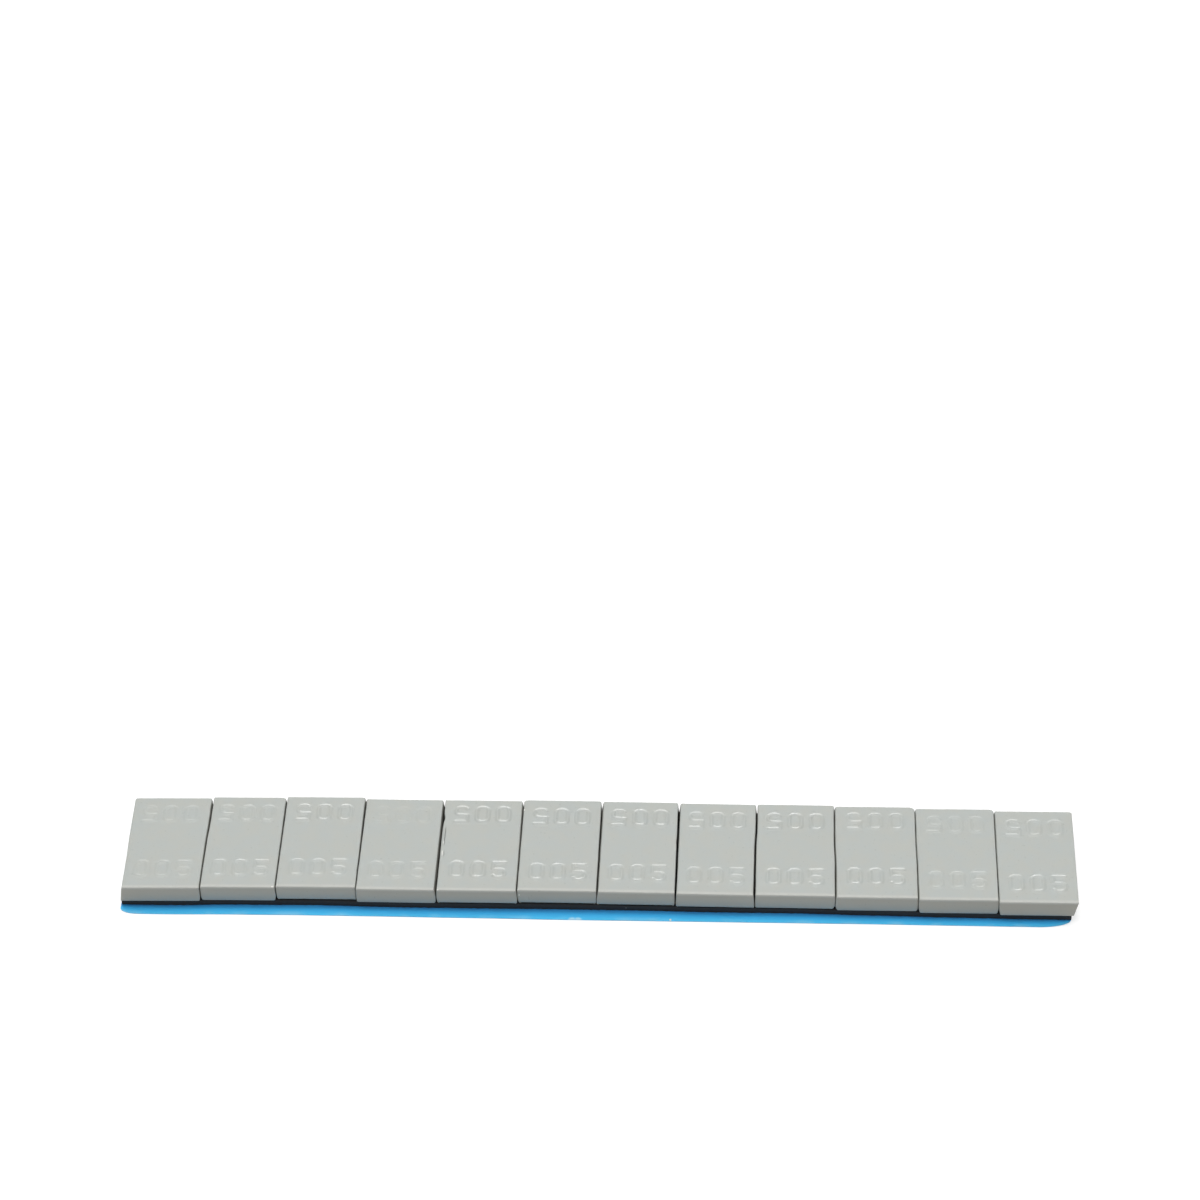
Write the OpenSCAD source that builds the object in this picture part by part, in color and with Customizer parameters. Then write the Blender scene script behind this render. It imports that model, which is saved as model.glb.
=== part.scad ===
// Adhesive wheel balance weight strip.
// Flat steel segments stand side by side on one foam tape, and a release liner
// covers the tape's underside. X runs along the strip, Y from its front edge to
// its back edge, and Z up. The origin is the middle of the liner's underside.
// The segments are sheared from a rolled bar, so they differ a little in width,
// and they sit a little askew on a tape that bows back in the middle.

/* [Segments] */
// Number of segments in the row
segment_count = 12; // [2:1:12]
// Width of a segment along the strip
segment_w = 11.75; // [10:0.05:16]
// Depth of a segment, which is the width of the rolled bar
segment_d = 19; // [16:0.1:25]
// Thickness of a segment
segment_t = 2.95; // [2.4:0.05:5]
// Mean gap between two segments
segment_gap = 0.2; // [0.2:0.05:1]

/* [Edges] */
// Radius of the bar's rolled edges, along the front and the back
edge_r = 0.25; // [0.1:0.05:1]
// Radius of a segment's upright corners
corner_r = 0.25; // [0.1:0.05:2]
// Radius where a sheared end rolls over into the top
roll_r = 0.15; // [0.05:0.05:0.8]
// Height of the clean-cut upper part of a sheared end
shear_h = 1.45; // [0.9:0.05:2]
// How far the torn lower part of a sheared end slants in at its foot
shear_lean = 0.06; // [0.05:0.01:0.8]
// The same at the left end of the row
left_lean = 0.05; // [0.05:0.01:1.2]
// The same at the right end of the row
right_lean = 0.8; // [0.05:0.01:1.2]

/* [Raised figures] */
// Height of a figure
figure_h = 3.45; // [3:0.05:5]
// Width of a figure
figure_w = 2.25; // [1.8:0.05:2.8]
// Width of a figure's stroke
stroke_w = 0.45; // [0.25:0.05:0.6]
// Radius of a figure's outer curves
figure_r = 0.95; // [0.5:0.05:1.2]
// Height of the bowl of the figure five
bowl_h = 2.1; // [1.8:0.05:2.6]
// Distance between the centres of neighbouring figures
figure_pitch = 3.2; // [3:0.1:3.6]
// How far the figures stand above the segment's top
figure_rise = 0.12; // [0.05:0.01:0.4]
// From the front edge to the foot of the front figures
front_margin = 2.25; // [1.2:0.05:3]
// From the back edge to the foot of the back figures
back_margin = 1.8; // [0.7:0.05:3]

/* [Foam tape] */
// Thickness of the tape
foam_t = 1; // [0.6:0.1:2]
// How far the tape's front edge lies behind the segments' front edges
foam_inset = 0; // [0:0.1:2]
// How far the tape reaches past the segments' back edges
foam_over = 0.9; // [0:0.1:2]
// How far the tape stops short of the row's left end
foam_short_left = 0.1; // [0:0.1:1]
// How far the tape stops short of the row's right end
foam_short_right = 0.7; // [0:0.1:2]
// How far the middle of the strip bows back
bow = 0.6; // [0:0.1:2]

/* [Release liner] */
// Thickness of the liner
liner_t = 0.12; // [0.05:0.01:0.3]
// How far the liner shows in front of the tape
liner_front = 1.4; // [0.5:0.1:3]
// How far the liner reaches past the back of the tape
liner_back = 0.3; // [0:0.1:1]
// How far the liner reaches past the tape's left end
liner_left = 0.15; // [0:0.05:1]
// Length of the rounding at the liner's left front corner
left_corner_l = 2.6; // [0.5:0.1:6]
// Depth of the rounding at the liner's left front corner
left_corner_d = 1.05; // [0.3:0.05:3]
// Length of the rounding at the liner's right front corner
right_corner_l = 5; // [0.5:0.1:6]
// Depth of the rounding at the liner's right front corner
right_corner_d = 1.6; // [0.3:0.05:3]

/* [Hidden] */
$fn = 48;

// The figures of the raised mark, which is the segment's mass in grams
mark = [0, 0, 5];

// One value for each segment, from left to right: what the width and the gap
// after it differ from the named sizes, the share of the bow, the place across
// the tape, the turn in degrees, positive when seen anticlockwise from above, and
// how far the raised figures sit further back
width_trim = [0.05, -0.45, 0.3, 0.05, 0.2, 0.15, -0.25, -0.25, 0, 0.4, 0.15, 0];
gap_trim = [-0.02, -0.06, -0.04, 0.12, -0.02, 0.06, 0.08, 0.06, -0.02, -0.08, -0.1];
bow_share = [0.15, 0.75, 1, 0.75, 0.85, 1, 1.05, 0.9, 1, 0.75, 0.5, 0.4];
seat_shift = [-0.1, -0.05, 0.1, 0, 0, 0.15, 0.05, 0, 0, 0, -0.05, -0.25];
turn = [1.2, 0.8, 0.6, 0.1, 0.3, 0.1, 0, -0.2, 0, 0.3, 0.5, 0.4];
mark_shift = [0, 0, 0.1, 0.1, 0.35, -0.1, 0, -0.15, -0.2, 0.3, 0.1, -0.1];
// How far the liner's front edge waves back from straight, beside each segment
liner_wave = [-0.25, -0.05, 0.05, 0.05, 0.05, 0, 0.05, 0.1, 0.15, 0.2, 0.2, 0.2];

// Stretches that a long edge of the tape is divided into, for each segment
edge_steps = 4;
// Turn in degrees from one point of a rounded liner corner to the next
corner_step = 10;
// Largest corner radius that a rectangle takes, as a share of its short side
corner_share = 0.45;
// How far the figures reach down into the segment, so that the two are one solid
figure_root = 0.2;

function segment_name(i) = str("weight_", i < 9 ? "0" : "", i + 1);
function width_of(i) = segment_w + width_trim[i];
function gap_after(i) = segment_gap + gap_trim[i];
// Distance of a segment's left end from the row's left end
function run_to(i) = i == 0 ? 0 : run_to(i - 1) + width_of(i - 1) + gap_after(i - 1);

last = segment_count - 1;
row_l = run_to(last) + width_of(last);
row_left = -row_l / 2;
row_right = row_l / 2;
tape_left = row_left + foam_short_left;
tape_right = row_right - foam_short_right;
foam_front = foam_inset - segment_d / 2;
foam_back = segment_d / 2 + foam_over;
segment_z = liner_t + foam_t;

function segment_x(i) = row_left + run_to(i) + width_of(i) / 2;
function segment_y(i) = bow * bow_share[i] + seat_shift[i];

// The value at x of something that is given beside each segment, eased from one
// segment's middle to the next
function eased(values, x) =
    let (place = max(0, min(last, (x - row_left) / row_l * segment_count - 0.5)))
    let (i = min(floor(place), last - 1))
    let (share = (1 - cos(180 * (place - i))) / 2)
    values[i] * (1 - share) + values[i + 1] * share;

// X of point k along an edge that runs from one x to another
function edge_x(from, to, k) = from + (to - from) * k / (edge_steps * segment_count);
edge_points = [0:edge_steps * segment_count];

module rounded_rectangle(l, d, r) {
    c = min(r, corner_share * min(l, d));
    square([l - 2 * c, d], center = true);
    square([l, d - 2 * c], center = true);
    for (x = [-1, 1], y = [-1, 1])
        translate([x * (l / 2 - c), y * (d / 2 - c)])
            circle(c);
}

// The band that a figure's stroke leaves between its outer and inner outline
module ring(l, d, r) {
    difference() {
        rounded_rectangle(l, d, r);
        rounded_rectangle(l - 2 * stroke_w, d - 2 * stroke_w, max(r - stroke_w, stroke_w / 2));
    }
}

module figure_zero() {
    translate([0, figure_h / 2])
        ring(figure_w, figure_h, figure_r);
}

module figure_five() {
    left = -figure_w / 2;
    // The bowl is a ring that is open on its left between the two strokes
    difference() {
        translate([0, bowl_h / 2])
            ring(figure_w, bowl_h, figure_r);
        translate([left, stroke_w])
            square([figure_w / 2, bowl_h - 2 * stroke_w]);
    }
    // The stem stands on the bowl's upper stroke, and the bar tops it
    translate([left, bowl_h - stroke_w])
        square([stroke_w, figure_h - bowl_h + stroke_w]);
    translate([left, bowl_h - stroke_w])
        square([figure_w / 2, stroke_w]);
    translate([left, figure_h - stroke_w])
        square([figure_w, stroke_w]);
}

// The whole mark, with the middle of its foot at the origin
module raised_mark() {
    middle = (len(mark) - 1) / 2;
    translate([0, 0, segment_t - figure_root])
        linear_extrude(figure_root + figure_rise)
            for (n = [0:len(mark) - 1])
                translate([(n - middle) * figure_pitch, 0])
                    if (mark[n] == 0)
                        figure_zero();
                    else
                        figure_five();
}

// The bar's section, rounded at all four edges, along the segment's width
module rolled_bar(w) {
    rotate([90, 0, 90])
        translate([0, segment_t / 2])
            linear_extrude(w, center = true)
                rounded_rectangle(segment_d, segment_t, edge_r);
}

// The outline that the shear leaves, seen from the front: rolled over at the top,
// clean-cut below that, and torn back to the foot
module sheared_outline(w, lean_left, lean_right) {
    clean_z = segment_t - shear_h;
    roll_z = segment_t - roll_r;
    polygon([
        [lean_left - w / 2, 0],
        [w / 2 - lean_right, 0],
        [w / 2, clean_z],
        [w / 2, roll_z],
        [-w / 2, roll_z],
        [-w / 2, clean_z]
    ]);
    translate([0, roll_z])
        square([w - 2 * roll_r, 2 * roll_r], center = true);
    for (side = [-1, 1])
        translate([side * (w / 2 - roll_r), roll_z])
            circle(roll_r);
}

module sheared_block(w, lean_left, lean_right) {
    rotate([90, 0, 0])
        linear_extrude(segment_d, center = true)
            sheared_outline(w, lean_left, lean_right);
}

module segment(w, lean_left, lean_right, shift) {
    intersection() {
        rolled_bar(w);
        sheared_block(w, lean_left, lean_right);
        linear_extrude(segment_t)
            rounded_rectangle(w, segment_d, corner_r);
    }
    translate([0, shift + front_margin - segment_d / 2])
        raised_mark();
    translate([0, shift + segment_d / 2 - back_margin])
        rotate(180)
            raised_mark();
}

module weight(i) {
    color([0.74, 0.755, 0.735])
        translate([segment_x(i), segment_y(i), segment_z])
            rotate(turn[i])
                segment(
                    width_of(i),
                    i == 0 ? left_lean : shear_lean,
                    i == last ? right_lean : shear_lean,
                    mark_shift[i]
                );
}

module foam_tape() {
    front = [for (k = edge_points) edge_x(tape_left, tape_right, k)];
    color([0.1, 0.105, 0.115])
        translate([0, 0, liner_t])
            linear_extrude(foam_t)
                polygon(concat(
                    [for (x = front) [x, foam_front + bow * eased(bow_share, x)]],
                    [for (k = edge_points)
                        let (x = edge_x(tape_right, tape_left, k))
                        [x, foam_back + bow * eased(bow_share, x)]]
                ));
}

// Y of the liner's front edge at x
function liner_edge(x) = foam_front - liner_front + eased(liner_wave, x);

module release_liner() {
    left_x = tape_left - liner_left + left_corner_l;
    right_x = tape_right - right_corner_l;
    left_corner = [for (a = [90:-corner_step:corner_step])
        [left_x - left_corner_l * sin(a), liner_edge(left_x) + left_corner_d * (1 - cos(a))]];
    right_corner = [for (a = [corner_step:corner_step:90])
        [right_x + right_corner_l * sin(a), liner_edge(right_x) + right_corner_d * (1 - cos(a))]];
    front = [for (k = edge_points)
        let (x = edge_x(left_x, right_x, k))
        [x, liner_edge(x)]];
    back = [for (k = edge_points)
        let (x = edge_x(tape_right, tape_left - liner_left, k))
        [x, foam_back + liner_back + bow * eased(bow_share, x)]];
    color([0.2, 0.58, 0.86])
        linear_extrude(liner_t)
            polygon(concat(left_corner, front, right_corner, back));
}

for (i = [0:last])
    weight(i);
foam_tape();
release_liner();
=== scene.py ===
"""Looks of an adhesive wheel balance weight strip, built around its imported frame."""

import math

import bpy
import numpy as np
from mathutils import Matrix, Vector, noise


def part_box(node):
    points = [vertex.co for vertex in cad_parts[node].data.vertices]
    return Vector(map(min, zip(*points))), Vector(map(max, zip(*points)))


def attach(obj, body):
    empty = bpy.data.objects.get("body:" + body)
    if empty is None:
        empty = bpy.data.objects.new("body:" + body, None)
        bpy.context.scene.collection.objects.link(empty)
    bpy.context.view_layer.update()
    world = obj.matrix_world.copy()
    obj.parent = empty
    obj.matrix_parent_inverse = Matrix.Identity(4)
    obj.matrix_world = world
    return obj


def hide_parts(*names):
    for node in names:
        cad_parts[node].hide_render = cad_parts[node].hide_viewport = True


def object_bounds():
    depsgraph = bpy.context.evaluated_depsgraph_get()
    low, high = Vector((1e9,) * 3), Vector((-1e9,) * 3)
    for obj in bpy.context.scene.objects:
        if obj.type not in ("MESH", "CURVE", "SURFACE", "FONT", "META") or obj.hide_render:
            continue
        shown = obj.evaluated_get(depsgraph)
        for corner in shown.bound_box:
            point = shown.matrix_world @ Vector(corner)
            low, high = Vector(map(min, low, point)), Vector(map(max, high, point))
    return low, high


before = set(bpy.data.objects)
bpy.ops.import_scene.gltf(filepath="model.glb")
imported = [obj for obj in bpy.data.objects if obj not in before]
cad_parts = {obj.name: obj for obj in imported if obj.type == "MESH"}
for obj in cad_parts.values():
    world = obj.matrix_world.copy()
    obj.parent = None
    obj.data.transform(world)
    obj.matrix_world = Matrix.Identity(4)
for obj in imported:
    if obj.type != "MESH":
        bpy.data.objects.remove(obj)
cad_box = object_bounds()

MM = 0.001
WEIGHTS = sorted(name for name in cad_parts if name.startswith("weight_"))

# Camera, as fitted to the photograph: where it looks, from where, and how long its lens is
AIM = Vector((-2.40, 56.24, 3.67)) * MM
DISTANCE = 586.6 * MM
VIEW_ELEVATION = math.radians(42.43)
VIEW_TURN = math.radians(-3.95)
VIEW_ROLL = math.radians(-1.93)
LENS = 108.0
SENSOR = 36.0
CLIP_START = 0.01


def add_camera():
    """The photograph's camera: it looks along +Y and down, a little from the right."""
    level = Vector((math.sin(VIEW_TURN), math.cos(VIEW_TURN), 0.0))
    ahead = level * math.cos(VIEW_ELEVATION) - Vector((0.0, 0.0, math.sin(VIEW_ELEVATION)))
    flat_right = Vector((math.cos(VIEW_TURN), -math.sin(VIEW_TURN), 0.0))
    flat_up = flat_right.cross(ahead)
    right = flat_right * math.cos(VIEW_ROLL) + flat_up * math.sin(VIEW_ROLL)
    up = right.cross(ahead)
    data = bpy.data.cameras.new("camera")
    data.sensor_width = SENSOR
    data.lens = LENS
    data.clip_start = CLIP_START
    camera = bpy.data.objects.new("camera", data)
    turn = Matrix((right, up, -ahead)).transposed().to_4x4()
    camera.matrix_world = Matrix.Translation(AIM - ahead * DISTANCE) @ turn
    bpy.context.scene.collection.objects.link(camera)
    bpy.context.scene.camera = camera


add_camera()

# Radii of a segment's rolled edges, of its sheared ends where they roll over into the top, and of
# its two front corners seen from above; all sizes below are in millimetres
TOP_R = 0.24
ROLL_LEFT = 0.24
ROLL_RIGHT = 0.16
CORNER_FRONT = 0.15
# Radii of each segment's two back corners, left and right, seen from above
CORNER_BACK = (
    (0.4, 0.35), (0.35, 0.55), (0.3, 0.35), (0.2, 0.3), (0.15, 0.35), (0.45, 0.4),
    (0.3, 0.4), (0.3, 0.35), (0.25, 0.35), (0.4, 0.8), (0.3, 0.7), (0.25, 0.45),
)
# Radius of each segment's lower edge, which the rolls left rounder on some
FOOT_R = (0.15, 0.15, 0.5, 0.2, 0.5, 0.55, 0.5, 0.4, 0.35, 0.2, 0.15, 0.3)

# Steps between the lines of a top's grid, in its fine parts and elsewhere
FINE = 0.1
COARSE = 0.4
# Steps over a rounded edge and down the sides, and how much closer these lie towards the foot
ROUND_STEPS = 6
SKIRT_STEPS = 16
SKIRT_CROWDING = 1.6
# An edge that turns by more than this stays sharp
SHARP_ANGLE = math.radians(55)
# Turns among which a segment's own turn is looked for
TURNS = np.radians(np.arange(-3.0, 3.001, 0.05))

# One row for each cut, which are the left end, each gap and the right end: how far it leans to the
# right on its way down, how far its back part and its front part bend to the right, the share of
# the gap that its sides close below the top, the share of the thickness that they take to do so,
# the height of its clean-cut part, how far its torn foot is drawn in, and how deep, as a share of
# the thickness, a burr at the back has filled the gap
CUTS = np.array([
    (-0.42, 0.0, 0.09, 0.0, 1.0, 1.45, 0.0, 1.0),
    (0.0, 0.09, 0.0, 0.6, 0.25, 2.2, 0.12, 0.6),
    (0.05, 0.0, 0.0, 0.45, 0.3, 2.2, 0.16, 0.2),
    (0.0, 0.0, 0.0, 0.7, 0.4, 2.4, 0.03, 0.2),
    (0.08, 0.03, 0.0, 0.76, 0.55, 2.0, 0.12, 0.5),
    (0.15, 0.0, 0.0, 0.93, 0.4, 2.1, 0.18, 0.55),
    (-0.2, 0.0, 0.0, 0.87, 0.45, 2.4, 0.03, 0.5),
    (-0.08, 0.0, 0.0, 0.65, 1.0, 2.2, 0.12, 0.6),
    (0.07, 0.1, 0.0, 0.85, 0.8, 2.3, 0.05, 0.8),
    (-0.08, 0.0, 0.13, 0.9, 0.25, 2.2, 0.36, 0.2),
    (0.05, 0.0, 0.09, 0.95, 0.03, 2.1, 0.28, 0.2),
    (0.1, 0.0, 0.0, 0.95, 0.03, 1.9, 0.25, 0.2),
    (0.0, 0.0, 0.0, 0.0, 1.0, 0.15, 0.57, 1.0),
])
LEAN, BACK_BEND, FRONT_BEND, CLOSING, SETTLED, CLEAN, TEAR, BURR = CUTS.T
# Where a bend begins and over what stretch it grows, as shares of the half depth
BACK_BEND_FROM = 0.1
BACK_BEND_OVER = 0.3
FRONT_BEND_FROM = 0.15
FRONT_BEND_OVER = 0.4
# Where a burr begins and is full, inwards from the back edge, where it begins below the top, as a
# share of the thickness, and the share of the gap that it fills in the end
BURR_FROM = 0.9
BURR_FULL = 0.6
BURR_TOP = 0.03
BURR_SHARE = 0.96
# How far in from an end its torn part draws the front and back faces with it, the share of a tear
# in a gap that reaches the front face, and the radius of the front face's lower corners there
PULL_W = 2.0
FRONT_TEAR = 0.6
FOOT_CORNER = 0.35
# How deep a torn part is ragged and a whole end is uneven, and how far in from an end that,
# a bend and a nick reach
RAGGED = 0.03
UNEVEN = 0.04
REACH_W = 1.0
# How these two waver: length of the waves, distance between what a segment's two ends read, and
# row of noise that the first segment reads; then the step between two rows, and their level
RAGGED_WAVE = (0.9, 40, 0)
UNEVEN_WAVE = (1.6, 60, 20)
NOISE_ROW = 7.3
NOISE_LEVEL = 0.5
# Nicks in the top edges beside a gap: segment, side, Y, half length and depth
NICKS = ((4, -1, 5.6, 0.8, 0.18), (6, 1, 1.1, 0.35, 0.08), (2, 1, -5.9, 0.4, 0.06))

# Raised figures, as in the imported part: size of a figure and of its stroke, radius of its curves,
# height of the five's bowl and where that ends, in degrees, then places and rise
FIGURE_H = 3.45
FIGURE_W = 2.25
STROKE_W = 0.45
FIGURE_R = 0.95
BOWL_H = 2.1
BOWL_END = -150
FIGURE_PITCH = 3.2
FRONT_MARGIN = 2.25
BACK_MARGIN = 1.8
FIGURE_RISE = 0.12
MARK = (0, 0, 5)
MARK_SHIFT = (0, 0, 0.1, 0.1, 0.35, -0.1, 0, -0.15, -0.2, 0.3, 0.1, -0.1)
# How far a crisp figure rises here, half the width of its soft flanks, and the step along a stroke
RISE = 0.115
SOFT = 0.19
STROKE_STEP = FINE / 2
# How crisply the figures of the front and the back row came out on each segment
FRONT_CRISP = (0.5, 0.65, 0.7, 0.5, 0.95, 0.9, 0.75, 0.7, 0.9, 0.95, 0.55, 0.85)
BACK_CRISP = (0.45, 0.55, 0.9, 0.3, 1.2, 1.1, 1.05, 0.8, 1.05, 0.7, 0.45, 0.65)
# How many points are measured against a stroke at a time
RELIEF_PART = 2000

# The bead of coating: its segment, how far it reaches in from that segment's left end, and the
# step between the grid lines there
BEAD_ON = 4
BEAD_W = 0.8
BEAD_STEP = 0.04
# Where it begins and ends along that end, and over what lengths it grows and fades
BEAD_START = -0.2
BEAD_GROWS = 0.4
BEAD_END = 3.8
BEAD_FADES = 0.6
# How far it wanders across, and how quickly
BEAD_WANDER = 0.03
BEAD_WAVES = 5.0
# Its ridge and groove: height, place and width across; its lumps and pit: also place and length
# along
BEAD_RIDGE = (0.05, 0.36, 0.1)
BEAD_GROOVE = (0.07, 0.52, 0.05)
BEAD_LUMPS = ((0.09, 0.38, 0.12, -1.8, 0.35), (0.07, 0.36, 0.1, 0.5, 0.25))
BEAD_PIT = (0.07, 0.6, 0.06, -1.9, 0.45)

# The painted highlight along the front edge, a pale line standing in for the lamp's gleam on the
# rounded edge: where it is full, where it ends, the step between the grid lines there and beside
# the burrs, and its share at the rim
LINE_FULL = 0.4
LINE_END = 0.7
LINE_STEP = 0.12
LINE_AT_RIM = 0.8
# Values of the side's shade from its top to its foot, over which the coat turns bluer as a
# painted reflection of the liner, with 1 for a wall inside a gap, painted dark as shade; how far
# down such a wall turns dark, as a share of the thickness, and how far in from the front
SIDE_FROM = 0.3
SIDE_TO = 0.6
WALL_FULL = 0.06
WALL_FROM = 0.5


def new_mesh_object(name, points, faces, values=None):
    """A smooth-shaded mesh object from points in millimetres, with named values at its points."""
    mesh = bpy.data.meshes.new(name)
    mesh.from_pydata((np.asarray(points) * MM).tolist(), [], faces)
    mesh.validate()
    mesh.shade_smooth()
    mesh.set_sharp_from_angle(angle=SHARP_ANGLE)
    for key, numbers in (values or {}).items():
        layer = mesh.attributes.new(key, "FLOAT", "POINT")
        layer.data.foreach_set("value", np.asarray(numbers, dtype=np.float32))
    piece = bpy.data.objects.new(name, mesh)
    bpy.context.scene.collection.objects.link(piece)
    return piece


def grid_faces(rows, columns, start=0, closed=False):
    """Quads over a grid of points stored row by row, whose rows may each close to a ring."""
    last = columns if closed else columns - 1
    faces = []
    for r in range(rows - 1):
        for c in range(last):
            d = (c + 1) % columns
            a = start + r * columns
            b = a + columns
            faces.append((a + c, a + d, b + d, b + c))
    return faces


def grid_rim(rows, columns):
    """Indices of the points on the rim of such a grid, once round."""
    index = np.arange(rows * columns).reshape(rows, columns)
    return np.concatenate([index[0, :-1], index[:-1, -1], index[-1, :0:-1], index[:0:-1, 0]])


def seen_from_above(node):
    """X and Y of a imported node's points, in millimetres."""
    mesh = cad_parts[node].data
    points = np.empty(len(mesh.vertices) * 3)
    mesh.vertices.foreach_get("co", points)
    return points.reshape(-1, 3)[:, :2] / MM


def plan_of(node):
    """Centre, width, depth and turn of a segment, seen from above."""
    flat = seen_from_above(node)
    best = None
    for turn in TURNS:
        c, s = math.cos(turn), math.sin(turn)
        local = flat @ np.array([[c, -s], [s, c]])
        low, high = local.min(axis=0), local.max(axis=0)
        area = float(np.prod(high - low))
        if best is None or area < best[0]:
            middle = (low + high) / 2 @ np.array([[c, s], [-s, c]])
            best = (area, middle, high - low, turn)
    return best[1], best[2][0], best[2][1], best[3]


PLANS = [plan_of(node) for node in WEIGHTS]
# Height of the segments' tops, without the figures
TOP_Z = cad_box[1][2] / MM - FIGURE_RISE


def corner_x(plan, side, end):
    """X of a segment's corner: side -1 or 1 is left or right, end -1 or 1 is front or back."""
    centre, width, depth, turn = plan
    return centre[0] + math.cos(turn) * side * width / 2 - math.sin(turn) * end * depth / 2


def gap_width(cut, end):
    """Width of the gap at a cut, at its front (-1) or its back (1); none at the row's two ends."""
    if cut in (0, len(PLANS)):
        return 0.0
    return corner_x(PLANS[cut], -1, end) - corner_x(PLANS[cut - 1], 1, end)


GAP_FRONT = np.array([gap_width(cut, -1) for cut in range(len(CUTS))])
GAP_BACK = np.array([gap_width(cut, 1) for cut in range(len(CUTS))])


def sampled(start, end):
    """Points along a straight stretch of a stroke."""
    count = max(2, int(math.dist(start, end) / STROKE_STEP) + 1)
    share = np.linspace(0, 1, count)[:, None]
    return np.array(start) * (1 - share) + np.array(end) * share


def arc(centre, radius, start, end):
    """Points along a round stretch of a stroke, between two angles in degrees."""
    count = max(3, int(abs(math.radians(end - start)) * radius / STROKE_STEP) + 1)
    angle = np.radians(np.linspace(start, end, count))
    return np.array(centre) + radius * np.stack([np.cos(angle), np.sin(angle)], axis=1)


def figure_zero():
    """The middle line of the figure nought's stroke, with its foot at the origin."""
    x = FIGURE_W / 2 - STROKE_W / 2
    low, high = STROKE_W / 2, FIGURE_H - STROKE_W / 2
    r = FIGURE_R - STROKE_W / 2
    return np.concatenate([
        sampled((-x, low + r), (-x, high - r)), arc((-x + r, high - r), r, 180, 90),
        sampled((-x + r, high), (x - r, high)), arc((x - r, high - r), r, 90, 0),
        sampled((x, high - r), (x, low + r)), arc((x - r, low + r), r, 0, -90),
        sampled((x - r, low), (-x + r, low)), arc((-x + r, low + r), r, -90, -180),
    ])


def figure_five():
    """The middle line of the figure five's stroke, with its foot at the origin."""
    x = FIGURE_W / 2 - STROKE_W / 2
    low, high = STROKE_W / 2, FIGURE_H - STROKE_W / 2
    waist = BOWL_H - STROKE_W / 2
    r = FIGURE_R - STROKE_W / 2
    return np.concatenate([
        sampled((x, high), (-x, high)), sampled((-x, high), (-x, waist)),
        sampled((-x, waist), (x - r, waist)), arc((x - r, waist - r), r, 90, 0),
        sampled((x, waist - r), (x, low + r)), arc((x - r, low + r), r, 0, -90),
        sampled((x - r, low), (-x + r, low)), arc((-x + r, low + r), r, -90, BOWL_END),
    ])


def mark_line():
    """The middle lines of the whole mark."""
    figures = {0: figure_zero(), 5: figure_five()}
    middle = (len(MARK) - 1) / 2
    return np.concatenate([
        figures[digit] + np.array([(n - middle) * FIGURE_PITCH, 0.0])
        for n, digit in enumerate(MARK)
    ])


MARK_LINE = mark_line()


def relief(x, y, line, height):
    """Height of a soft raised stroke over each point of the top."""
    rise = np.zeros(len(x))
    reach = STROKE_W / 2 + SOFT
    near = np.flatnonzero(
        (x > line[:, 0].min() - reach) & (x < line[:, 0].max() + reach)
        & (y > line[:, 1].min() - reach) & (y < line[:, 1].max() + reach)
    )
    for part in np.array_split(near, max(1, len(near) // RELIEF_PART)):
        across, along = x[part, None] - line[None, :, 0], y[part, None] - line[None, :, 1]
        share = np.clip((reach - np.hypot(across, along).min(axis=1)) / (2 * SOFT), 0, 1)
        rise[part] = height * share * share * (3 - 2 * share)
    return rise


def edge_lines(radius):
    """Distances from an edge at which grid lines lie, so that they share out its rounding."""
    return radius * (1 - np.cos(np.linspace(0, math.pi / 2, ROUND_STEPS + 1)))


def rounding(distance, radius):
    """How far a rounded edge falls away, from the distance inwards (to a foot: upwards)."""
    short = np.clip(radius - distance, 0, None)
    return radius - np.sqrt(np.clip(radius ** 2 - short ** 2, 0, None))


def spread(start, end, step):
    """Evenly spaced values from start up to, but not at, end."""
    count = max(1, round((end - start) / step))
    return np.linspace(start, end, count, endpoint=False)


def grid_lines(half, first_r, last_r, bands):
    """Grid lines from -half to half: close at both edges and in the bands, and wide elsewhere.

    A band is its start, its end and the step between its lines.
    """
    lines = list(-half + edge_lines(first_r)[:-1])
    place = -half + first_r
    for start, end, step in bands:
        if start > place:
            lines += list(spread(place, start, COARSE))
        lines += list(spread(start, end, step))
        place = end
    lines += list(spread(place, half - last_r, COARSE))
    lines += list(half - edge_lines(last_r)[::-1])
    return np.array(lines)


def corner_radius(x, y, number):
    """Radius of the segment's upright corner that each point is nearest to."""
    return np.where(y < 0, CORNER_FRONT, np.where(x < 0, *CORNER_BACK[number]))


def rounded_corner(x, y, half_w, half_d, r):
    """Moves points of a rectangle's corners onto round ones."""
    p = np.clip(np.abs(x) - (half_w - r), 0, None) / r
    q = np.clip(np.abs(y) - (half_d - r), 0, None) / r
    both = (p > 0) & (q > 0)
    new_p = p * np.sqrt(1 - q * q / 2)
    new_q = q * np.sqrt(1 - p * p / 2)
    x = np.where(both, np.sign(x) * (half_w - r + r * new_p), x)
    y = np.where(both, np.sign(y) * (half_d - r + r * new_q), y)
    return x, y


def inside_distance(x, y, half_w, half_d, r):
    """Distance inwards from a rounded rectangle's outline, and the radius of the edge there."""
    p = np.abs(x) - (half_w - r)
    q = np.abs(y) - (half_d - r)
    outside = np.hypot(np.clip(p, 0, None), np.clip(q, 0, None))
    rolled = np.arctan2(np.clip(q, 0, None), np.clip(p, 0, None) + (p <= 0) * 1e-9)
    rolled = np.where((p <= 0) & (q <= 0), q > p, rolled / (math.pi / 2))
    roll_r = np.where(x < 0, ROLL_LEFT, ROLL_RIGHT)
    return r - outside - np.minimum(np.maximum(p, q), 0), roll_r + (TOP_R - roll_r) * rolled


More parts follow.
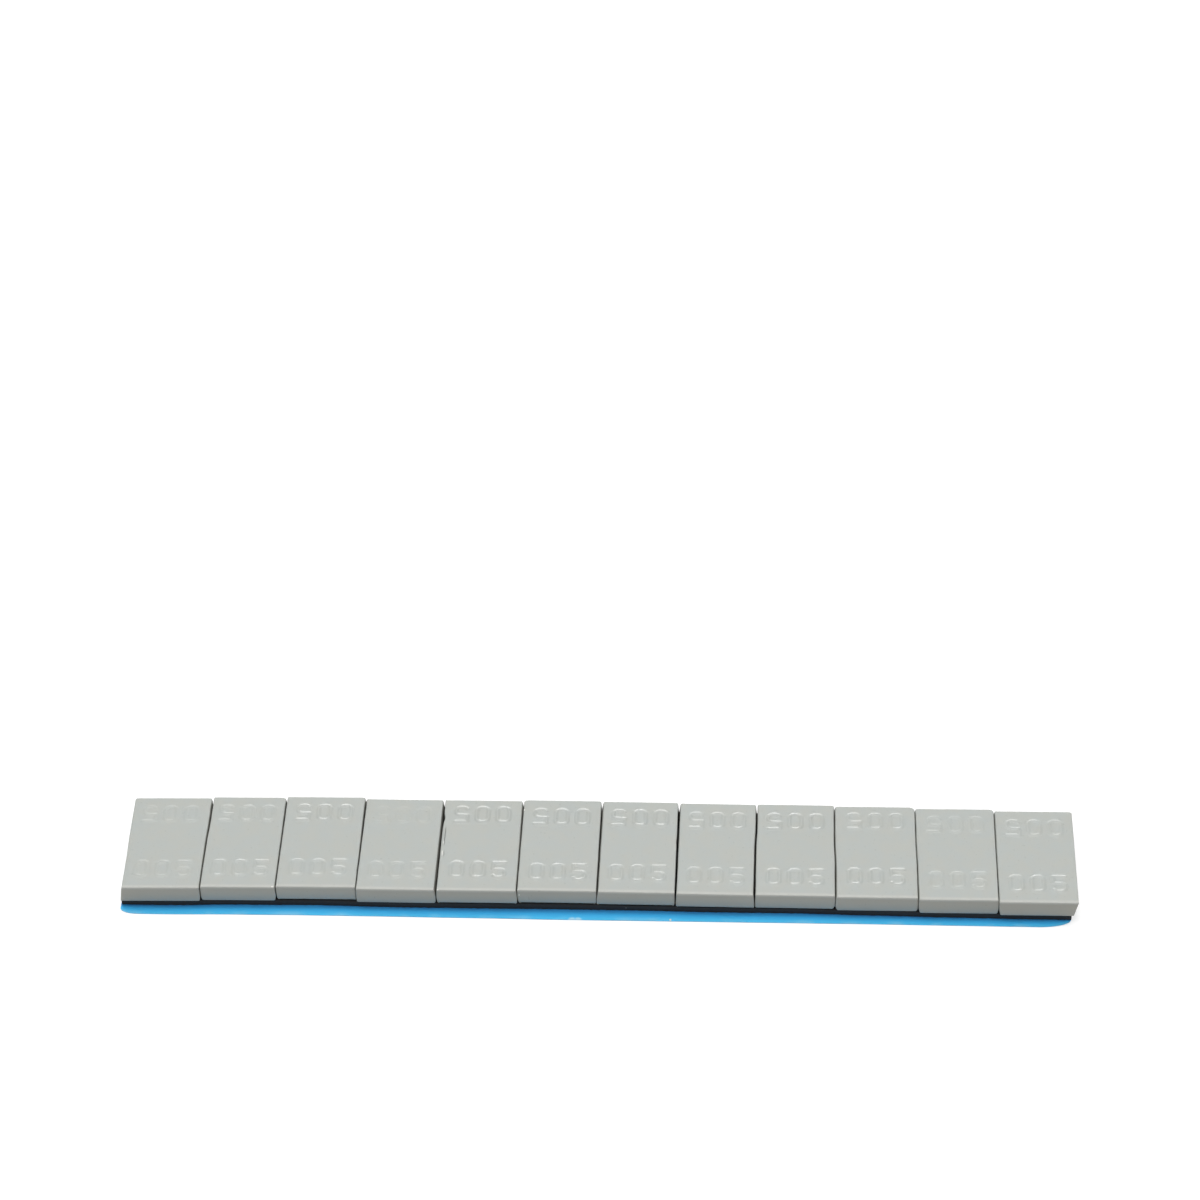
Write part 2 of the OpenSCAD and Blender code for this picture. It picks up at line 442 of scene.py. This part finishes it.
def waver(x, y, number, wave):
    """Smooth noise from 0 to 1 along the two ends of a segment."""
    length, apart, first = wave
    row = (number + first) * NOISE_ROW
    places = (y + apart * np.sign(x)) / length
    return np.array([0.5 + 0.5 * noise.noise(Vector((p, row, NOISE_LEVEL))) for p in places])


def hill(values, middle, width):
    """A smooth hill of height 1 around a middle value."""
    return np.exp(-(((values - middle) / width) ** 2))


def bead(x, y, half_w):
    """The bead of coating at a segment's left end: height, painted crease shade, painted glints."""
    across = x + half_w - BEAD_WANDER * np.sin(y * BEAD_WAVES)
    length = np.clip((y - BEAD_START) / BEAD_GROWS, 0, 1)
    length *= np.clip((BEAD_END - y) / BEAD_FADES, 0, 1)
    rise = BEAD_RIDGE[0] * hill(across, *BEAD_RIDGE[1:]) * length
    crease = BEAD_GROOVE[0] * hill(across, *BEAD_GROOVE[1:]) * length
    crease += BEAD_PIT[0] * hill(across, *BEAD_PIT[1:3]) * hill(y, *BEAD_PIT[3:])
    rise -= crease
    # The bead's lumps get painted glints
    glint = 0
    for lump in BEAD_LUMPS:
        shape = hill(across, *lump[1:3]) * hill(y, *lump[3:])
        rise += lump[0] * shape
        glint = glint + shape
    return rise, np.clip(crease / BEAD_GROOVE[0], 0, 1), np.clip(glint, 0, 1)


def figure_feet(number, half_d):
    """Y of the feet of a segment's front and back figures."""
    front = FRONT_MARGIN - half_d + MARK_SHIFT[number]
    back = half_d - BACK_MARGIN + MARK_SHIFT[number]
    return front, back


def top_lines(number, half_w, half_d):
    """The grid lines of a segment's top, as values of X and of Y."""
    half_mark = FIGURE_PITCH + FIGURE_W / 2 + SOFT
    bands = [(-half_mark, half_mark, FINE)]
    if number == BEAD_ON:
        bands.insert(0, (-half_w + ROLL_LEFT, -half_w + BEAD_W, BEAD_STEP))
    front_foot, back_foot = figure_feet(number, half_d)
    rows = grid_lines(half_d, TOP_R, TOP_R, [
        (-half_d + TOP_R, -half_d + LINE_END, LINE_STEP),
        (front_foot - SOFT, front_foot + FIGURE_H + SOFT, FINE),
        (back_foot - FIGURE_H - SOFT, back_foot + SOFT, FINE),
        (half_d - BURR_FROM, half_d - TOP_R, LINE_STEP),
    ])
    return grid_lines(half_w, ROLL_LEFT, ROLL_RIGHT, bands), rows


def faces_gap(x, number):
    """1 for points on the side of a segment where it has a neighbour, and 0 for the others."""
    return (number > 0) * (x < 0) + (number + 1 < len(WEIGHTS)) * (x >= 0)


def skirt(number, rim, corner_r, half_w, half_d, thick):
    """Rings of points down a segment's sides from the rim of its top, and their shades."""
    x, y, z = rim.T
    p = np.clip(np.abs(x) - (half_w - corner_r), 0, None)
    q = np.clip(np.abs(y) - (half_d - corner_r), 0, None)
    normal_x = np.sign(x) * p / np.hypot(p, q)
    normal_y = np.sign(y) * q / np.hypot(p, q)
    cut = np.where(x < 0, number, number + 1)
    across = (x + half_w) / (2 * half_w)
    backward = y / (2 * half_d) + 0.5
    half_gap = (GAP_FRONT[cut] + (GAP_BACK - GAP_FRONT)[cut] * backward) / 2
    between = faces_gap(x, number)
    at_back = between * np.clip((y - half_d + BURR_FROM) / (BURR_FROM - BURR_FULL), 0, 1)
    at_front = between * np.clip(1 - (y + half_d) / BURR_FULL, 0, 1)
    lean = LEAN[number] * (1 - across) + LEAN[number + 1] * across
    pull = np.sign(x) * np.clip(1 - (half_w - np.abs(x)) / PULL_W, 0, 1)
    tear = TEAR[cut] * (1 - (1 - FRONT_TEAR) * at_front)
    tear += RAGGED * waver(x, y, number, RAGGED_WAVE) * (1 - at_back)
    inward = np.clip((y + half_d - CORNER_FRONT) / WALL_FROM, 0, 1) * np.abs(normal_x)
    rings, shades = [], []
    for share in np.linspace(1, 0, SKIRT_STEPS + 1)[1:]:
        height = z * share ** SKIRT_CROWDING
        down = 1 - height / thick
        torn = np.clip((thick - CLEAN[cut] - height) / (thick - CLEAN[cut]), 0, 1)
        drawn = tear * torn * (1 - at_back) + rounding(height, FOOT_CORNER) * at_front
        burr = np.clip((down - BURR_TOP) / (BURR[cut] - BURR_TOP), 0, 1)
        closed = CLOSING[cut] * np.clip(down / SETTLED[cut], 0, 1)
        closed = np.maximum(closed, BURR_SHARE * at_back * burr) * half_gap
        rings.append(np.stack([
            x - pull * drawn + normal_x * closed + lean * down,
            y - normal_y * rounding(height, FOOT_R[number]),
            height,
        ], axis=1))
        # Walls inside a gap get painted shade, full a little below the top
        dark = between * inward * np.clip(down / WALL_FULL, 0, 1)
        shades.append(SIDE_FROM + (SIDE_TO - SIDE_FROM) * down + (1 - SIDE_TO) * dark)
    return rings, shades


def skirt_faces(rim, start):
    """Faces from the rim down over the rings that are stored from start on, and the flat foot."""
    count = len(rim)
    faces = []
    ring = list(rim)
    for step in range(SKIRT_STEPS):
        lower = [start + step * count + k for k in range(count)]
        for k in range(count):
            m = (k + 1) % count
            faces.append((ring[m], ring[k], lower[k], lower[m]))
        ring = lower
    faces.append(tuple(reversed(ring)))
    return faces


def shear_ends(points, number, half_w, half_d):
    """Makes a segment's two ends uneven, always inwards, and gives them their bends and nicks."""
    x, y = points[:, 0].copy(), points[:, 1]
    reach = np.clip(1 - (half_w - np.abs(x)) / REACH_W, 0, 1)
    uneven = waver(x, y, number, UNEVEN_WAVE) * faces_gap(x, number)
    uneven *= np.clip((half_d - BURR_FULL - y) / BURR_FROM, 0, 1)
    points[:, 0] -= np.sign(x) * UNEVEN * uneven * reach
    cut = number + (x > 0)
    forward = y / half_d
    bend = BACK_BEND[cut] * np.clip((forward - BACK_BEND_FROM) / BACK_BEND_OVER, 0, 1)
    bend += FRONT_BEND[cut] * np.clip((FRONT_BEND_FROM - forward) / FRONT_BEND_OVER, 0, 1)
    points[:, 0] += bend * reach
    for segment, side, place, half_l, deep in NICKS:
        if segment == number:
            points[:, 0] -= (x * side > 0) * side * deep * hill(y, place, half_l) * reach


def build_weight(number, node):
    """One coated steel segment: figures, rolled edges and sheared ends in one closed mesh."""
    centre, width, depth, turn = PLANS[number]
    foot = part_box(node)[0][2] / MM
    thick = TOP_Z - foot
    half_w, half_d = width / 2, depth / 2
    columns, rows = top_lines(number, half_w, half_d)
    x, y = (axis.ravel() for axis in np.meshgrid(columns, rows))
    corner_r = corner_radius(x, y, number)
    x, y = rounded_corner(x, y, half_w, half_d, corner_r)

    inside, radius = inside_distance(x, y, half_w, half_d, corner_r)
    z = thick - rounding(np.clip(inside, 0, None), radius)
    front_foot, back_foot = figure_feet(number, half_d)
    z += relief(x, y, MARK_LINE + np.array([0, front_foot]), RISE * FRONT_CRISP[number])
    z += relief(x, y, np.array([0, back_foot]) - MARK_LINE, RISE * BACK_CRISP[number])
    crease, glint = np.zeros(len(x)), np.zeros(len(x))
    if number == BEAD_ON:
        bead_z, crease, glint = bead(x, y, half_w)
        z += bead_z
    # Mask of the painted highlight along the front edge
    from_front = y + half_d
    edge = np.clip((LINE_END - from_front) / (LINE_END - LINE_FULL), 0, 1)
    edge *= LINE_AT_RIM + (1 - LINE_AT_RIM) * np.clip(from_front / TOP_R, 0, 1)

    top = np.stack([x, y, z], axis=1)
    rim = grid_rim(len(rows), len(columns))
    rings, shades = skirt(number, top[rim], corner_r[rim], half_w, half_d, thick)
    points = np.concatenate([top] + rings)
    shear_ends(points, number, half_w, half_d)
    c, s = math.cos(turn), math.sin(turn)
    placed = np.stack([
        centre[0] + c * points[:, 0] - s * points[:, 1],
        centre[1] + s * points[:, 0] + c * points[:, 1],
        foot + points[:, 2],
    ], axis=1)
    faces = grid_faces(len(rows), len(columns)) + skirt_faces(rim, len(top))
    below = np.zeros(len(points) - len(top))
    piece = new_mesh_object("coated_" + node, placed, faces, {
        "edge": np.append(edge, below),
        "side": np.concatenate([np.zeros(len(top))] + shades),
        "crease": np.append(crease, below),
        "glint": np.append(glint, below),
    })
    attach(piece, "root")
    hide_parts(node)
    return piece


def outline_of(node):
    """The front and back edges of a flat node, as two lines of X and Y."""
    flat = np.unique(np.round(seen_from_above(node), 4), axis=0)
    middle = (flat[:, 1].min() + flat[:, 1].max()) / 2
    sides = flat[flat[:, 1] < middle], flat[flat[:, 1] >= middle]
    return [side[np.argsort(side[:, 0])] for side in sides]


foam_front, foam_back = outline_of("foam_tape")
liner_front, liner_back = outline_of("release_liner")
foam_low, foam_high = (np.array(v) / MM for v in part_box("foam_tape"))
liner_low, liner_high = (np.array(v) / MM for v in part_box("release_liner"))

# How far to the left both ends of tape and liner lie, and over what length
END_SHIFT = 0.12
END_L = 8.0


def line_at(line, x):
    """Y of an outline at a place along the strip."""
    return np.interp(x, line[:, 0], line[:, 1])


def end_shifted(x, left, right):
    """X of a place on the tape or the liner, with both its ends moved to the left."""
    near = max(0, 1 - (x - left) / END_L) + max(0, 1 - (right - x) / END_L)
    return x - END_SHIFT * near


# Foam tape: steps along it and up its sides, and how far these bulge
FOAM_STEP = 0.3
FOAM_ROWS = 8
FOAM_BULGE = 0.05
# How rough its sides are, as layers of noise: depth, waves along, place of a side, waves upwards
FOAM_ROUGH = ((0.05, 1.7, 9.0, 2.5), (0.025, 6.0, 5.0, 7.0))


def build_foam():
    """The foam tape: a block whose long sides bulge a little and are cut a little rough."""
    left, right = foam_low[0], foam_high[0]
    count = int((right - left) / FOAM_STEP)
    share = np.linspace(0, 1, FOAM_ROWS + 1)
    levels = foam_low[2] + (foam_high[2] - foam_low[2]) * share
    points = []
    for x in np.linspace(left, right, count + 1):
        at = end_shifted(x, left, right)
        for side, line in ((-1, foam_front), (1, foam_back)):
            edge = line_at(line, x)
            order = range(FOAM_ROWS + 1) if side < 0 else range(FOAM_ROWS, -1, -1)
            for k in order:
                out = FOAM_BULGE * (4 * share[k] * (1 - share[k]) - 1)
                for deep, along, place, upwards in FOAM_ROUGH:
                    spot = Vector((x * along, side * place, levels[k] * upwards))
                    out += deep * noise.noise(spot)
                points.append((at, edge + side * out, levels[k]))
    around = 2 * (FOAM_ROWS + 1)
    faces = grid_faces(count + 1, around, closed=True)
    faces.append(tuple(range(around)))
    faces.append(tuple(reversed(range(count * around, (count + 1) * around))))
    faces = [tuple(reversed(face)) for face in faces]
    piece = new_mesh_object("foam_strip", points, faces)
    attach(piece, "root")
    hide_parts("foam_tape")
    return piece


# Release liner: step along it, and length and steps of its two ends, which are finer
LINER_STEP = 0.5
LINER_END_L = 4.0
LINER_END_STEPS = 12
# Lines along it from back to front, and how much closer the front ones lie
LINER_ROWS = 14
LINER_CROWDING = 2.2
# How far its free edge lifts, how that grows towards the edge, and the length and row of its waves
LINER_LIFT = 0.09
LINER_CURL = 1.5
LINER_WAVE_L = 9.0
LINER_WAVE_ROW = 3.1
# Least width of its free part
LINER_LEAST = 0.2


def build_liner():
    """The release liner: a thin film, flat under the tape, lifting a little where it is free."""
    left, right = liner_low[0], liner_high[0]
    ends = (1 - np.cos(np.linspace(0, math.pi / 2, LINER_END_STEPS + 1))) * LINER_END_L
    count = int((right - left - 2 * LINER_END_L) / LINER_STEP)
    stations = np.concatenate([
        left + ends[:-1],
        np.linspace(left + LINER_END_L, right - LINER_END_L, count),
        right - ends[-2::-1],
    ])
    shares = 1 - (np.linspace(1, 0, LINER_ROWS) ** LINER_CROWDING)
    top, reach = [], []
    for x in stations:
        at = end_shifted(x, left, right)
        front, back = line_at(liner_front, x), line_at(liner_back, x)
        tape = line_at(foam_front, x)
        wave = 0.5 + 0.5 * noise.noise(Vector((x / LINER_WAVE_L, LINER_WAVE_ROW, 0.0)))
        for share in shares:
            y = back + (front - back) * share
            free = np.clip((tape - y) / max(LINER_LEAST, tape - front), 0, 1)
            top.append((at, y, liner_high[2] + LINER_LIFT * wave * free ** LINER_CURL))
            reach.append(free)
    top = np.array(top)
    bottom = top - np.array([0, 0, liner_high[2] - liner_low[2]])
    faces = [tuple(reversed(face)) for face in grid_faces(len(stations), LINER_ROWS)]
    rim = grid_rim(len(stations), LINER_ROWS)
    for a, b in zip(rim.tolist(), np.roll(rim, -1).tolist()):
        faces.append((a, b, b + len(top), a + len(top)))
    faces += grid_faces(len(stations), LINER_ROWS, start=len(top))
    points = np.concatenate([top, bottom])
    piece = new_mesh_object("liner_film", points, faces, {"reach": reach + reach})
    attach(piece, "root")
    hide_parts("release_liner")
    return piece


# Share of a spot's radius within which it is full, and at which it has faded away
SPOT_FULL = 0.6
SPOT_END = 1.2


class Nodes:
    """A short way to write a material's nodes."""

    def __init__(self, name):
        self.material = bpy.data.materials.new(name)
        self.material.use_nodes = True
        self.tree = self.material.node_tree
        self.shader = self.tree.nodes["Principled BSDF"]
        self.place = self.add("ShaderNodeTexCoord").outputs["Object"]

    def add(self, kind, **settings):
        node = self.tree.nodes.new(kind)
        for key, value in settings.items():
            setattr(node, key, value)
        return node

    def link(self, source, target):
        self.tree.links.new(source, target)

    def noise(self, size_mm, detail=3.0, roughness=0.55):
        node = self.add("ShaderNodeTexNoise")
        node.inputs["Scale"].default_value = 1.0 / (size_mm * MM)
        node.inputs["Detail"].default_value = detail
        node.inputs["Roughness"].default_value = roughness
        self.link(self.place, node.inputs["Vector"])
        return node.outputs["Fac"]

    def attribute(self, name):
        return self.add("ShaderNodeAttribute", attribute_name=name).outputs["Fac"]

    def ramp(self, value, stops):
        node = self.add("ShaderNodeValToRGB")
        elements = node.color_ramp.elements
        while len(elements) < len(stops):
            elements.new(0.5)
        for element, (position, colour) in zip(elements, stops):
            element.position = position
            element.color = (*colour, 1.0)
        self.link(value, node.inputs["Fac"])
        return node.outputs["Color"]

    def mix(self, share, first, second):
        node = self.add("ShaderNodeMix", data_type="RGBA")
        for key, value in (("A", first), ("B", second)):
            socket = next(s for s in node.inputs if s.name == key and s.type == "RGBA")
            if isinstance(value, tuple):
                socket.default_value = (*value, 1.0)
            else:
                self.link(value, socket)
        self.link(share, node.inputs["Factor"])
        return next(s for s in node.outputs if s.type == "RGBA")

    def span(self, value, low, high, to_low=0.0, to_high=1.0):
        node = self.add("ShaderNodeMapRange")
        node.inputs["From Min"].default_value = low
        node.inputs["From Max"].default_value = high
        node.inputs["To Min"].default_value = to_low
        node.inputs["To Max"].default_value = to_high
        self.link(value, node.inputs["Value"])
        return node.outputs["Result"]

    def maths(self, operation, first, second):
        node = self.add("ShaderNodeMath", operation=operation)
        self.link(first, node.inputs[0])
        self.link(second, node.inputs[1])
        return node.outputs["Value"]

    def spots(self, places):
        """1 inside small round spots, given as X, Y, Z and radius, and 0 elsewhere."""
        total = None
        for x, y, z, radius in places:
            away = self.add("ShaderNodeVectorMath", operation="DISTANCE")
            self.link(self.place, away.inputs[0])
            away.inputs[1].default_value = (x * MM, y * MM, z * MM)
            spot = self.span(
                away.outputs["Value"], radius * SPOT_END * MM, radius * SPOT_FULL * MM
            )
            total = spot if total is None else self.maths("MAXIMUM", total, spot)
        return total

    def bump(self, height, strength, distance_mm, after=None):
        node = self.add("ShaderNodeBump")
        node.inputs["Strength"].default_value = strength
        node.inputs["Distance"].default_value = distance_mm * MM
        self.link(height, node.inputs["Height"])
        if after:
            self.link(after, node.inputs["Normal"])
        return node.outputs["Normal"]


# Colours, as linear red, green and blue
COAT = (0.441, 0.463, 0.437)
COAT_COOL = (0.435, 0.463, 0.444)
COAT_WARM = (0.448, 0.463, 0.430)
# Painted highlight along the front edges
COAT_PAINTED_HIGHLIGHT = (0.502, 0.510, 0.477)
COAT_SIDE_TOP = (0.450, 0.449, 0.400)
# Sides bluer towards the foot as a painted reflection of the blue liner
COAT_SIDE_LINER_REFLECTION = (0.452, 0.457, 0.415)
# Painted shade on the walls inside the gaps
COAT_PAINTED_GAP_SHADE = (0.150, 0.150, 0.135)
# Painted shade in the bead's groove and pit
COAT_PAINTED_CREASE_SHADE = (0.060, 0.063, 0.060)
# White of the bare chips and flecks, and of the painted glints
CHIP_FLECK_GLINT_WHITE = (0.850, 0.850, 0.800)
FOAM_DARK = (0.0085, 0.0095, 0.012)
FOAM_LIGHT = (0.030, 0.032, 0.036)
FOAM_FLECK = (0.160, 0.170, 0.170)
# Liner colours with painted shade beside the tape and painted light at the free edge
LINER_PAINTED_SHADE = (0.040, 0.220, 0.565)
LINER_MID = (0.057, 0.515, 1.000)
LINER_PAINTED_LIGHT = (0.085, 0.605, 1.000)
LINER_PALE = (0.300, 0.700, 0.980)
LINER_WORN = (0.420, 0.780, 1.000)

# Small bare chips in the coating and painted glints on two burrs, flecks on the liner and the
# foam, and worn patches at the liner's edge: place and radius
COAT_CHIPS_AND_GLINTS = (
    (-48.7, -8.85, 4.05, 0.13), (-23.75, -8.9, 4.05, 0.12), (-11.55, -8.75, 3.05, 0.12),
    # These two are painted glints on the burrs at the backs of two gaps
    (-11.85, 8.0, 4.03, 0.2), (0.2, 7.8, 4.03, 0.2),
)
LINER_FLECKS = ((11.15, -10.6, 0.16, 0.18),)
LINER_PATCHES = ((-3.6, -11.0, 0.15, 0.6), (-2.7, -11.0, 0.15, 0.6))
FOAM_FLECKS = ((4.45, -8.85, 0.72, 0.1), (-23.2, -8.9, 0.6, 0.08), (-20.9, -8.9, 0.5, 0.08))

# Sizes of the coating's mottle and of its patches of gloss, roughness from glossiest to dullest,
# then its grain and its waves, each as size, strength and depth
COAT_MOTTLE = 2.4
COAT_GLOSS = 0.5
COAT_ROUGHNESS = (0.27, 0.35)
COAT_GRAIN = (0.16, 0.1, 0.03)
COAT_WAVES = (1.3, 0.08, 0.05)
# The value of the side's shade from which it alone gives the colour, and that to which the side
# keeps its top's colour
SIDE_ONLY = 0.29
SIDE_TOP_TO = 0.42
# The foam's specks and roughness, and its pores as size, strength and depth
FOAM_SPECKS = 0.22
FOAM_ROUGHNESS = 0.85
FOAM_PORES = (0.12, 0.6, 0.05)
# Size of the liner's clouds and how far they show; size of its pale patches, where on its free
# part they begin and how far they show; where its middle colour lies, its roughness, and its waves
# as size, strength and depth
LINER_CLOUDS = 1.6
LINER_CLOUDED = 0.25
LINER_PALE_SIZE = 4.0
LINER_PALE_FROM = 0.55
LINER_PALED = 0.6
LINER_MIDDLE = 0.45
LINER_ROUGHNESS = 0.32
LINER_WAVES = (2.5, 0.2, 0.08)


def coated_steel():
    """Light-grey satin coating: faint warm and cool mottle, fine grain, painted edge highlight."""
    n = Nodes("coated_steel")
    mottle = n.ramp(
        n.noise(COAT_MOTTLE, detail=4.0), [(0.35, COAT_COOL), (0.5, COAT), (0.65, COAT_WARM)]
    )
    # Front edges paler as a painted highlight
    lightened = n.mix(n.attribute("edge"), mottle, COAT_PAINTED_HIGHLIGHT)
    # Side colour: bluer towards the foot as a painted reflection of the liner, and painted shade on
    # walls inside gaps
    low = n.ramp(n.attribute("side"), [
        (SIDE_ONLY, COAT_SIDE_TOP), (SIDE_TOP_TO, COAT_SIDE_TOP), (SIDE_TO, COAT_SIDE_LINER_REFLECTION),
        (1.0, COAT_PAINTED_GAP_SHADE),
    # painted shade inside the gaps
    ])
    sided = n.mix(n.span(n.attribute("side"), 0.0, SIDE_ONLY), lightened, low)
    # Painted shade in the bead's creases
    creased = n.mix(n.attribute("crease"), sided, COAT_PAINTED_CREASE_SHADE)
    # Painted glints on the bead's lumps
    glinting = n.mix(n.attribute("glint"), creased, CHIP_FLECK_GLINT_WHITE)
    n.link(n.mix(n.spots(COAT_CHIPS_AND_GLINTS), glinting, CHIP_FLECK_GLINT_WHITE), n.shader.inputs["Base Color"])
    gloss = n.span(n.noise(COAT_GLOSS), 0.3, 0.7, *COAT_ROUGHNESS)
    n.link(gloss, n.shader.inputs["Roughness"])
    grain = n.bump(n.noise(COAT_GRAIN[0], detail=2.0), *COAT_GRAIN[1:])
    waves = n.bump(n.noise(COAT_WAVES[0], detail=2.0), *COAT_WAVES[1:], after=grain)
    n.link(waves, n.shader.inputs["Normal"])
    return n.material


def foam():
    """Black closed-cell foam: matt, with fine pores and a few paler fibres."""
    n = Nodes("foam")
    specks = n.ramp(
        n.noise(FOAM_SPECKS, detail=4.0, roughness=0.7), [(0.55, FOAM_DARK), (0.75, FOAM_LIGHT)]
    )
    n.link(n.mix(n.spots(FOAM_FLECKS), specks, FOAM_FLECK), n.shader.inputs["Base Color"])
    n.shader.inputs["Roughness"].default_value = FOAM_ROUGHNESS
    n.link(n.bump(n.noise(FOAM_PORES[0]), *FOAM_PORES[1:]), n.shader.inputs["Normal"])
    return n.material


def liner():
    """Light-blue film: painted shade beside the tape, painted light towards its free edge."""
    n = Nodes("liner")
    # Painted shade and light across the film: dark beside the tape, bright at its free edge
    across = n.ramp(
        n.attribute("reach"),
        [(0.0, LINER_PAINTED_SHADE), (LINER_MIDDLE, LINER_MID), (1.0, LINER_PAINTED_LIGHT)],
    )
    clouds = n.span(n.noise(LINER_CLOUDS), 0.35, 0.75, 0.0, LINER_CLOUDED)
    cloudy = n.mix(clouds, across, LINER_MID)
    free = n.span(n.attribute("reach"), LINER_PALE_FROM, 1.0)
    patches = n.span(n.noise(LINER_PALE_SIZE, detail=1.0), 0.5, 0.75, 0.0, LINER_PALED)
    pale = n.mix(n.maths("MULTIPLY", patches, free), cloudy, LINER_PALE)
    lightened = n.mix(n.spots(LINER_PATCHES), pale, LINER_WORN)
    n.link(n.mix(n.spots(LINER_FLECKS), lightened, CHIP_FLECK_GLINT_WHITE), n.shader.inputs["Base Color"])
    n.shader.inputs["Roughness"].default_value = LINER_ROUGHNESS
    waves = n.bump(n.noise(LINER_WAVES[0], detail=1.0), *LINER_WAVES[1:])
    n.link(waves, n.shader.inputs["Normal"])
    return n.material


coat_material = coated_steel()
for number, node in enumerate(WEIGHTS):
    build_weight(number, node).data.materials.append(coat_material)
build_foam().data.materials.append(foam())
build_liner().data.materials.append(liner())

# Floor, world and lamps: the floor's size in metres, its grey and how far it glows for the camera,
# then each light's level, its spread and where it shines from
FLOOR_HALF = 3.0
FLOOR_GREY = 0.68
FLOOR_GLOW = 0.5
WORLD_LEVEL = 0.26
SUN_LEVEL = 2.2
SUN_SPREAD = math.radians(60)
SUN_FROM = Vector((-0.03, 0.12, 0.99))
BACK_LEVEL = 0.88
BACK_SPREAD = math.radians(30)
BACK_FROM = Vector((-0.05, 0.965, 0.26))


def camera_like_rays(tree):
    """1 for rays that show the background: from the camera, mirrored or let through."""
    path = tree.nodes.new("ShaderNodeLightPath")
    total = path.outputs["Is Camera Ray"]
    for name in ("Is Glossy Ray", "Is Transmission Ray"):
        most = tree.nodes.new("ShaderNodeMath")
        most.operation = "MAXIMUM"
        tree.links.new(total, most.inputs[0])
        tree.links.new(path.outputs[name], most.inputs[1])
        total = most.outputs[0]
    return total


def add_floor():
    """A plain floor that shows white but keeps the shadow."""
    mesh = bpy.data.meshes.new("floor")
    h = FLOOR_HALF
    mesh.from_pydata([(-h, -h, 0), (h, -h, 0), (h, h, 0), (-h, h, 0)], [], [(0, 1, 2, 3)])
    floor = bpy.data.objects.new("floor", mesh)
    bpy.context.scene.collection.objects.link(floor)
    material = bpy.data.materials.new("floor")
    material.use_nodes = True
    tree = material.node_tree
    shader = tree.nodes["Principled BSDF"]
    shader.inputs["Base Color"].default_value = (FLOOR_GREY, FLOOR_GREY, FLOOR_GREY, 1)
    shader.inputs["Roughness"].default_value = 1.0
    shader.inputs["Specular IOR Level"].default_value = 0.0
    shader.inputs["Emission Color"].default_value = (1, 1, 1, 1)
    glow = tree.nodes.new("ShaderNodeMath")
    glow.operation = "MULTIPLY"
    glow.inputs[1].default_value = FLOOR_GLOW
    tree.links.new(camera_like_rays(tree), glow.inputs[0])
    tree.links.new(glow.outputs[0], shader.inputs["Emission Strength"])
    mesh.materials.append(material)


def add_sun(name, level, spread_angle, source):
    """A soft lamp that shines from a direction."""
    data = bpy.data.lights.new(name, "SUN")
    data.energy = level
    data.angle = spread_angle
    sun = bpy.data.objects.new(name, data)
    sun.rotation_euler = source.to_track_quat("Z", "Y").to_euler()
    bpy.context.scene.collection.objects.link(sun)


def add_light():
    """An even pale surround, a soft lamp overhead and a weak one low behind the strip."""
    world = bpy.data.worlds.new("world")
    bpy.context.scene.world = world
    world.use_nodes = True
    tree = world.node_tree
    background = tree.nodes["Background"]
    background.inputs["Color"].default_value = (1, 1, 1, 1)
    level = tree.nodes.new("ShaderNodeMapRange")
    level.inputs["To Min"].default_value = WORLD_LEVEL
    level.inputs["To Max"].default_value = 1.0
    tree.links.new(camera_like_rays(tree), level.inputs["Value"])
    tree.links.new(level.outputs["Result"], background.inputs["Strength"])
    add_sun("overhead", SUN_LEVEL, SUN_SPREAD, SUN_FROM)
    add_sun("behind", BACK_LEVEL, BACK_SPREAD, BACK_FROM)


add_floor()
add_light()
bpy.context.scene.view_settings.view_transform = "Standard"
